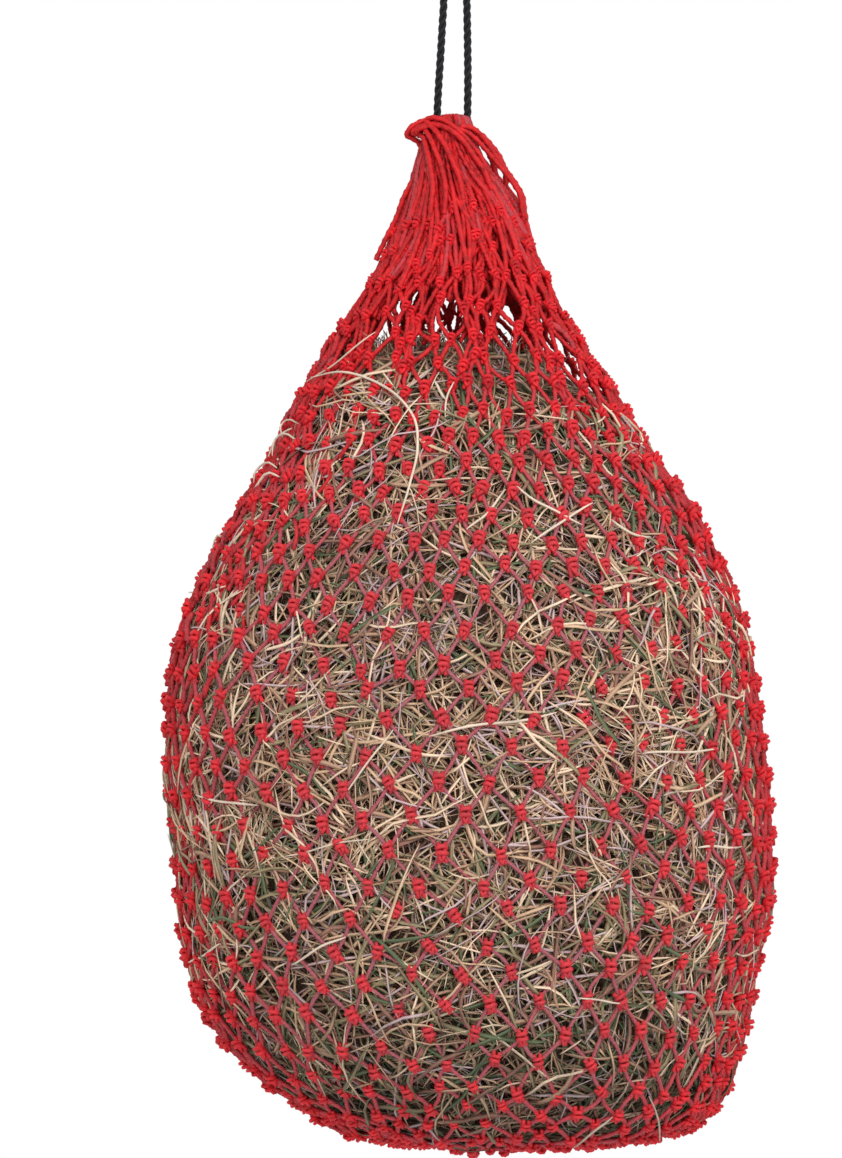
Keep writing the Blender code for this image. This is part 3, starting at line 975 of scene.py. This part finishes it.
def add_legs(net, piece, row, ring, random, end, crossing, bare, kept=1.0):
    """Both legs of the long loops from a row of knots to the ring that gathers them.

    The ring is its centre, its radius and its cord's, 1 to pass over it or -1 under it, and the depth of
    the layers of twine on it. Crossing turns each leg across its neighbours, bare is the share of the
    ring with no twine on it, at its right, and kept is the share of the row's knots that have legs.
    """
    centre, ring_radius, cord_radius, rise, deepest_layer = ring
    chosen = random.random(MESHES_ROUND) < kept
    lengths, angles, lifts = (values[chosen] for values in net.rows[row])
    half = math.pi / MESHES_ROUND
    share = np.linspace(0, 1, LEG_POINTS)[None, :]
    bow = np.sin(np.pi * share)
    for inner in (False, True):
        count = len(lengths)
        sweep_over = random.normal(crossing, 0.12, count) * (-0.6 if inner else 1.0)
        top = (angles + (half if inner else -half) + sweep_over) % TURN
        top = np.pi + (top - np.pi) * (1 - bare)
        length = between(lengths, end - lengths, share)
        sway = random.normal(0, 0.10, (count, 1)) * bow
        angle = between(angles, shortest(top - angles), smooth_step(share, 0.0, 1.0)) + sway
        depth = random.uniform(0.0, 0.0065, (count, 1)) * bow
        slack = np.abs(random.normal(0, 0.0010, (count, 1))) * bow
        out = -NET_INSET * 0.6 + lifts[:, None] * (1 - share) - depth + slack
        path = net.skin.at(length, angle, out)
        layer = random.choice((0.0, 0.5, 1.0), count) * deepest_layer * np.abs(np.sin(top))
        outward = circle(top)
        hooks = hook_over(centre, outward, ring_radius, cord_radius, layer, np.full(count, inner), rise)
        blend = smooth_step(share, 0.62, 1.0)[..., None]
        path = path * (1 - blend) + hooks[:, :1] * blend
        path = np.concatenate([path, hooks[:, 1:]], axis=1)
        ups = net.skin.normal(lengths, angles)[:, None] + np.zeros_like(path)
        paler = np.maximum(random.normal(0, 0.22, count), 0)[:, None]
        piece.add_twine(path, ups, SLACK_TWINE_RADIUS if rise > 0 else TWINE_RADIUS, paler)


STRAY_TWINES = (
    ((-14, -8, -226.5), (-23, -9, -226.2), (-32, -8.5, -229), (-38.5, -7, -233.5), (-40, -4, -238.5),
     (-35.5, -2, -240.5), (-31, 0, -244), (-29, 2, -251), (-30, 3, -262)),
    ((-15, -11, -230), (-23, -12, -230), (-31, -11.5, -232.5), (-36, -9, -236.2), (-31, -7, -237.5),
     (-26, -8, -240), (-23, -9, -248)),
    ((-15, -14, -233), (-23, -15, -231.5), (-30, -14, -233.5), (-33, -11, -235.5), (-30, -8, -237.2),
     (-27, -8, -242), (-25, -8, -252)),
    ((-15, -3, -229), (-23, -3, -228.5), (-31, -2, -231.5), (-37.5, -1, -236.5), (-34, 1, -241),
     (-29, 1, -245), (-27, 1, -255)),
    ((6, -6, -233), (15, -7, -237), (24, -6, -246), (31, -4, -256), (34.5, -3, -268), (35, -3, -280),
     (36, 1, -292), (37, 6, -306)),
    ((2, -8, -234), (12, -8.5, -240), (20, -8, -249), (25, -8, -260), (29, -7, -274), (33, -4, -290),
     (37, 2, -308)),
    ((-22, -6, -250), (-33, -7, -268), (-43, -7, -286), (-48, -6, -300), (-56, -5, -316),
     (-64, -4, -333)),
)


# Twines lying across the front of the mouth: lengths down the bag, and degrees round it.
WRAPS = (
    ((6, 178), (4, 205), (10, 235), (24, 258), (45, 268), (70, 270)),
    ((11, 182), (10, 208), (18, 232), (34, 248), (56, 253), (80, 252)),
    ((4, 190), (1, 225), (4, 255), (14, 284), (28, 304), (46, 318)),
    ((9, 196), (7, 230), (11, 264), (22, 288), (40, 300), (62, 306)),
    ((14, 186), (16, 212), (28, 230), (46, 238), (66, 240), (84, 238)),
    ((10, 268), (12, 290), (20, 312), (32, 328), (48, 338), (66, 344), (84, 346)),
    ((8, 285), (10, 310), (18, 330), (30, 344), (46, 352), (64, 356), (86, 356)),
)


def add_wraps(net, piece):
    for number, route in enumerate(WRAPS):
        places = np.array([(length / 1000, math.radians(turn), 0.0) for length, turn in route])
        fine = smooth_path(places * (1, 0.03, 1), WRAP_STEP) / (1, 0.03, 1)
        share = np.linspace(0, 1, len(fine))
        out = 0.0008 + 0.0012 * np.sin(np.pi * share) - 0.004 * smooth_step(share, 0.8, 1.0)
        path = net.skin.at(fine[:, 0], fine[:, 1], out)
        ups = net.skin.normal(fine[:, 0], fine[:, 1])
        radius = SLACK_TWINE_RADIUS * (1.08 - 0.08 * (number % 3))
        piece.add_twine(path[None], ups[None], radius)


def add_stray_twines(piece):
    """Loops that have slipped off the gathered mouth and stand away from it."""
    for route in STRAY_TWINES:
        path = smooth_path(metres(route), WRAP_STEP)
        piece.add_twine(path[None], carried_ups(path)[None], SLACK_TWINE_RADIUS)


def row_edges(net):
    """First and last row of knots in each band of the CAD netting."""
    heights = [float(net.skin.at(length, angle)[:, 2].mean()) for length, angle, _ in net.rows]
    edges = {}
    first = 0
    for node in NET_NODES[1:]:
        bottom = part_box(node)[0].z
        last = sum(height > bottom + 0.004 for height in heights)
        last = len(heights) if node == "net_base" else last
        edges[node] = (first, last)
        first = last
    return edges


def build_net(skin, random):
    materials = [
        twine_material("net_twine", TWINE_RED, WORN_RED),
        twine_material("net_knots", KNOT_RED, WORN_RED),
    ]
    net = Net(skin, random)
    mouth_ring = (box_centre("mouth_cord_ring"), mouth_ring_radius(), CORD_DIAMETER / 2, 1.0, MOUTH_LAYERS)
    mouth = Piece()
    for row, crossing, kept in MOUTH_LEGS:
        add_legs(net, mouth, row, mouth_ring, random, MOUTH_BEND, crossing, MOUTH_GAP, kept)
    add_stray_twines(mouth)
    add_wraps(net, mouth)
    mouth.make("mouth_loops_twine", materials, "net_bag", ("mouth_loops", "mouth_tie_loop"))
    base_ring = (box_centre("base_gather_cord"), BASE_RING_RADIUS, BASE_CORD_RADIUS, -1.0, BASE_LAYERS)
    for node, (first, last) in row_edges(net).items():
        piece = Piece()
        net.add_rows(piece, first, last)
        net.add_side_folds(piece, max(first, 4), last)
        if node == "net_base":
            add_legs(net, piece, len(net.rows) - 1, base_ring, random, skin.length - BASE_BEND, 0.0, 0.0)
        piece.make(node + "_twine", materials, "net_bag", (node,))
    pleats = Piece()
    net.add_pleats(pleats)
    pleats.make("neck_pleats_twine", materials[:1], "net_bag")
    return net


# --- hay ---

# Each shade: its colour, how many stems, their radius, how flat, their lengths,
# and how common they are at the top, middle and bottom of the hay.
# At the bottom, the fewer pale stems and more dark ones are partly the hay's own colour and partly painted
# shade.
HAY_SHADES = (
    ("hay_pale_stems", (0.92, 0.71, 0.51), 2900, 0.00100, 0.8, (0.03, 0.10), (0.30, 1.0, 0.12)),
    ("hay_straw_stems", (0.72, 0.49, 0.31), 3600, 0.00105, 0.7, (0.03, 0.09), (0.45, 1.0, 0.28)),
    ("hay_tan_leaves", (0.52, 0.32, 0.205), 3000, 0.00155, 0.30, (0.03, 0.07), (1.0, 0.9, 0.8)),
    ("hay_brown_leaves", (0.34, 0.170, 0.120), 2300, 0.00155, 0.30, (0.03, 0.07), (1.0, 0.5, 1.2)),
    ("hay_olive_leaves", (0.335, 0.275, 0.150), 3000, 0.00155, 0.28, (0.03, 0.08), (1.0, 0.7, 1.0)),
    ("hay_green_leaves", (0.125, 0.165, 0.078), 2200, 0.00150, 0.28, (0.03, 0.07), (1.0, 0.5, 1.5)),
    ("hay_grey_stems", (0.64, 0.475, 0.475), 2300, 0.00100, 0.7, (0.03, 0.10), (1.1, 0.8, 0.6)),
)
STEM_POINTS = 7
STEM_SIDES = 3
STEM_DEPTH = 0.011
OVER_NET = 0.12  # share of the stems lying over the net
CROWN_DEPTH = 0.002  # how much deeper the hay lies in the net at its top, bottom and sides
BASE_DEPTH = 0.004
SIDE_DEPTH = 0.001
CROWN_STEMS = 130  # of each shade
CROWN_REACH = (0.015, 0.040)  # how far they stand up
CORE_DEPTH = 0.012  # from the outside of the hay in to its core, coloured dark as painted shade
CORE_ROUGHNESS = 0.003
CORE_ROWS = 121
CROWN_TIPS = -0.386  # no stem stands above this height
SHOULDER = 0.012  # how far the crown's shoulder bulges towards the netting
SHOULDER_PLACE = (0.075, 0.038)  # its middle and half width, down from the crown's top


def inside(skin, points, gap):
    """Which points lie inside a skin by more than a gap."""
    flat = points.reshape(-1, 3)
    middles = skin.grid.mean(axis=1)
    row = np.abs(middles[:, 2, None] - flat[None, :, 2]).argmin(axis=0)
    offset = flat - middles[row]
    angle = np.arctan2(offset[:, 1], offset[:, 0]) % TURN
    column = (angle / TURN * FINE_AZIMUTHS).astype(int) % FINE_AZIMUTHS
    edge = skin.grid[row, column] - middles[row]
    reach = np.hypot(offset[:, 0], offset[:, 1])
    return (reach < np.hypot(edge[:, 0], edge[:, 1]) - gap).reshape(points.shape[:-1])


def shoulder(length, angle):
    """How far the top of the hay bulges out, most at the front and the back."""
    middle, width = SHOULDER_PLACE
    return SHOULDER * np.exp(-(((length - middle) / width) ** 2)) * (0.4 + 0.6 * np.sin(angle) ** 2)


class Hay:
    """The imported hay's surface, with the drift and clumping of its stems."""

    def __init__(self, random):
        self.random = random
        self.skin = hay_skin()
        self.lumps = ripples(self.skin, random, 60, 0.07)
        self.drift = ripples(self.skin, random, 60, 0.05)
        self.clump = ripples(self.skin, random, 120, 0.022)

    def starts(self, count, commonness):
        """Random places over the surface, denser in the clumps."""
        height = self.skin.grid[..., 2]
        levels = np.linspace(height.min(), height.max(), 3)
        weight = self.skin.area * np.interp(height, levels, commonness[::-1])
        weight = (weight * (0.22 + (0.5 + 0.5 * self.clump) ** 1.5)).ravel()
        cell = self.random.choice(len(weight), count, p=weight / weight.sum())
        row = cell // FINE_AZIMUTHS + self.random.random(count)
        column = cell % FINE_AZIMUTHS + self.random.random(count)
        return row / (FINE_ROWS - 1) * self.skin.length, column / FINE_AZIMUTHS * TURN

    def add_stems(self, piece, count, radius, flat, reach, commonness):
        """Curved stems lying in the outer layer of the hay, some ends poking out."""
        random = self.random
        each = (count, 1)
        start, angle = self.starts(count, commonness)
        length = self.skin.length
        middle = smooth_step(start, 0.12, 0.34) - smooth_step(start, length - 0.36, length - 0.20)
        over = random.random(count) < OVER_NET * middle * (1 - 0.85 * np.cos(angle) ** 2)
        half = (random.uniform(*reach, count) * np.where(over, 0.5, 1.0))[:, None] / 2
        share = np.linspace(-1, 1, STEM_POINTS)[None, :]
        along = half * share
        drift = self.skin.read(self.drift, start, angle) * TURN
        stray = np.where(random.random(count) < 0.4, 2.5, 0.5)
        heading = (drift + random.normal(0, 1, count) * stray)[:, None]
        bend = random.normal(0, 7.0, each)
        curl = random.normal(0, 0.20, each)
        phase = random.uniform(0, TURN, each)
        turned = heading + bend * along + curl * np.sin(along * 110 + phase)
        step = (along[:, 1] - along[:, 0])[:, None]
        down = np.cumsum(np.cos(turned), axis=1) * step
        around = np.cumsum(np.sin(turned), axis=1) * step
        lengths = start[:, None] + down - down.mean(1, keepdims=True)
        lengths = np.clip(lengths, 0.002, length - 0.002)
        local = np.maximum(self.skin.radius(start, angle), 0.03)[:, None]
        angles = angle[:, None] + (around - around.mean(1, keepdims=True)) / local
        depth = STEM_DEPTH * np.abs(random.normal(0, 0.62, each)) - 0.003
        depth = depth + CROWN_DEPTH * (1 - smooth_step(start, 0.03, 0.17))[:, None]
        depth = depth + SIDE_DEPTH * np.cos(angle)[:, None] ** 4
        depth = depth + BASE_DEPTH * near_base(self.skin, start)[:, None]
        tilt = random.normal(0, 0.05, each)
        arch = random.normal(0, 0.0022, each) * (1 - share**2)
        depth = np.where(over[:, None], -random.uniform(0.0, 0.0050, each), depth)
        out = np.minimum(-depth + tilt * along + arch, 0.0050)
        out = out + LUMP * self.skin.read(self.lumps, lengths, angles) + shoulder(lengths, angles)
        paths = self.skin.at(lengths, angles, out)
        ups = self.skin.normal(lengths, angles)
        lean = random.normal(0, 0.7, (count, 1, 1))
        ups = unit(ups + lean * np.cross(ups, unit(np.gradient(paths, axis=1))))
        width = radius * random.uniform(0.55, 1.55, each)
        taper = 1 - 0.75 * np.abs(share) ** 4
        piece.add(*sweep(paths, ups, width * taper, STEM_SIDES, flat))

    def add_crown_stems(self, piece, count, netting):
        """Stems standing up out of the top of the hay, inside the neck."""
        random = self.random
        start = np.minimum(np.abs(random.normal(0, 0.055, count)), 0.105) + 0.003
        angle = random.uniform(0, TURN, count)
        root = self.skin.at(start, angle, shoulder(start, angle) - 0.006)
        normal = self.skin.normal(start, angle)
        aside = unit(random.normal(0, 1, (count, 3)))
        inward = unit((0.0, 0.0, 1.0) - root * (6, 6, 0))
        heading = unit(0.6 * normal + 0.7 * inward + 0.55 * aside)
        bend = 0.35 * unit(random.normal(0, 1, (count, 3)))
        share = np.linspace(0, 1, STEM_POINTS)[None, :, None]
        reach = random.uniform(*CROWN_REACH, (count, 1, 1))
        paths = root[:, None] + reach * (share * heading[:, None] + share**2 * bend[:, None])
        width = random.uniform(0.0006, 0.0011, (count, 1)) * (1 - 0.6 * share[..., 0] ** 3)
        kept = inside(netting, paths, 0.003).all(axis=1) & (paths[..., 2].max(axis=1) < CROWN_TIPS)
        ups = aside[:, None] + np.zeros_like(paths)
        piece.add(*sweep(paths[kept], ups[kept], width[kept], STEM_SIDES, 0.7))

    def add_core(self):
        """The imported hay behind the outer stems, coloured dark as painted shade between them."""
        rough = ripples(self.skin, self.random, 80, 0.02)
        lengths = np.linspace(0, self.skin.length, FINE_ROWS)[:, None]
        angles = np.linspace(0, TURN, FINE_AZIMUTHS, endpoint=False)[None, :]
        out = -CORE_DEPTH + LUMP * self.lumps + CORE_ROUGHNESS * rough + shoulder(lengths, angles)
        grid = self.skin.grid + self.skin.normals * out[..., None]
        grid = grid[np.linspace(0, FINE_ROWS - 1, CORE_ROWS).astype(int)]
        grid[0] = grid[0].mean(axis=0)
        grid[-1] = grid[-1].mean(axis=0)
        number = np.arange(grid.shape[0] * grid.shape[1]).reshape(grid.shape[:2])
        turned = np.roll(number, -1, axis=1)
        quads = np.stack([number[:-1], number[1:], turned[1:], turned[:-1]], axis=-1).reshape(-1, 4)
        piece = Piece()
        piece.add(grid.reshape(-1, 3), [quads])
        core = piece.make("hay_core_painted_shade", [painted_shade_core_material()], "net_bag", HAY_NODES)


# Single stems lying over the net: across and up along each of them, in millimetres.
LONG_STEMS = (
    ((-118, -427), (-100, -416), (-84, -404), (-64, -390)),
    ((-113, -423), (-90, -420), (-65, -427), (-45, -440), (-34, -456), (-32, -474), (-38, -505),
     (-47, -535)),
    ((-20, -427), (-15, -435), (-11, -442)),
    ((-5, -427), (-8.5, -435), (-11, -443), (-11.5, -454)),
    ((38, -502), (56, -518), (73, -526), (90, -534)),
    ((52, -549), (70, -535), (98, -519)),
    ((4, -539), (20, -525), (33, -509)),
    ((112, -530), (128, -542), (142, -543)),
    ((-86, -733), (-70, -712), (-50, -685)),
    ((-24, -690), (10, -683), (40, -679), (70, -673)),
    ((134, -704), (160, -703), (192, -702)),
    ((130, -730), (145, -716), (156, -708)),
    ((176, -774), (210, -775)),
    ((-130, -780), (-100, -772), (-68, -766)),
    ((86, -883), (100, -886), (120, -888)),
    ((84, -999), (100, -986), (113, -974)),
    ((140, -960), (148, -980), (150, -1000)),
    ((-198, -736), (-170, -742), (-150, -742)),
    ((-205, -865), (-190, -855), (-180, -848)),
    ((-125, -860), (-100, -845), (-85, -838)),
    ((-121, -458), (-129, -454), (-136, -460), (-134, -468)),
    ((-123, -470), (-132, -465), (-141, -472), (-142, -481)),
    ((-127, -462), (-137, -466), (-145, -483)),
    ((-138, -492), (-147, -487), (-155, -493), (-156, -503)),
    ((-136, -498), (-146, -496), (-155, -506)),
    ((-176, -544), (-183, -542), (-188, -550)),
    ((-176, -581), (-190, -585), (-206, -586)),
)


LONG_STEM_STEP = 0.004


def add_long_stems(piece, random):
    """Stems caught on the outside of the net, laid on its front by lines from the front."""
    tree = tree_of(NET_NODES)
    for route in LONG_STEMS:
        across = smooth_path(metres([(x, 0, z) for x, z in route]), LONG_STEM_STEP)
        wave = np.sin(np.linspace(0, 7, len(across)) + random.uniform(0, 6))
        across[:, 2] += 0.0008 * wave
        lifts = 0.0018 + 0.0014 * wave
        for point, lift in zip(across, lifts):
            found = tree.ray_cast(Vector((point[0], -OUTSIDE, point[2])), Vector((0.0, 1.0, 0.0)))[0]
            point[1] = (0.0 if found is None else found.y) - lift
        across[:, 1] = np.convolve(np.pad(across[:, 1], 2, "edge"), np.full(5, 0.2), "valid")
        width = random.uniform(0.0007, 0.0011) * (1 - 0.6 * np.linspace(-1, 1, len(across)) ** 4)
        ups = np.tile((0.0, -1.0, 0.0), (len(across), 1))
        piece.add(*sweep(across[None], ups[None], width[None], 5, 0.7))


def build_hay(net, random):
    hay = Hay(random)
    hay.add_core()
    for name, colour, *stems in HAY_SHADES:
        piece = Piece()
        hay.add_stems(piece, *stems)
        hay.add_crown_stems(piece, CROWN_STEMS, net.skin)
        piece.make(name, [hay_material(name, colour)], "net_bag")
    piece = Piece()
    add_long_stems(piece, random)
    piece.make("hay_caught_stems", [hay_material("hay_caught_stems", CAUGHT_STEM, 0.3)], "net_bag")


# --- lacing and base closing ---

STITCH = 0.025  # length of one turn of the lacing
STITCH_SWAY = 0.0035
LACING_ENDS = 0.03  # bare at both ends of the bag
LACING_STEP = 0.003
LACING_RISE = 0.003
BASE_KNOT_AXES = ((1.0, 0.0, 0.0), (0.0, 1.0, 0.0), (0.0, 0.0, -1.0))  # across, along and out


def add_lacing(net, material):
    """Twine laced down the back, in and out of the net's edge meshes."""
    length = np.arange(LACING_ENDS, net.skin.length - LACING_ENDS, LACING_STEP)
    sway = STITCH_SWAY * np.sin(length * TURN / STITCH)
    radius = np.maximum(net.skin.radius(length, BACK_ANGLE), 0.02)
    angle = BACK_ANGLE + sway / radius
    out = net.out(length, angle) + LACING_RISE + 0.0008 * np.cos(length * TURN / STITCH)
    path = net.skin.at(length, angle, out)[None]
    piece = Piece()
    piece.add_twine(path, net.skin.normal(length, angle)[None], LACING_RADIUS)
    piece.make("lacing_twine", [material], "net_bag", ("side_lacing",))


def add_base_cord(material):
    turn = np.linspace(0, TURN, 49)
    path = box_centre("base_gather_cord") + circle(turn, 0.1 * np.sin(2 * turn)) * BASE_RING_RADIUS
    piece = Piece()
    piece.add_twine(path[None], carried_ups(path)[None], BASE_CORD_RADIUS, lay=BASE_CORD_LAY)
    piece.make("base_cord", [material], "net_bag", ("base_gather_cord",))


def add_base_knot(material, random):
    piece = Piece()
    side, down, out = (np.array([axis]) for axis in BASE_KNOT_AXES)
    centre = box_centre("base_knot")[None]
    add_knots(piece, knot_template(random, 1), centre, side, down, out, np.array([BASE_KNOT_UNIT]))
    piece.make("base_knot_turns", [material], "net_bag", ("base_knot",))


def main():
    random = np.random.default_rng(SEED)
    set_stage()
    build_cords()
    net = build_net(net_skin(), random)
    lacing = twine_material("lacing_twine", LACING_RED, WORN_LACING)
    add_lacing(net, lacing)
    add_base_cord(lacing)
    add_base_knot(lacing, random)
    build_hay(net, random)


main()
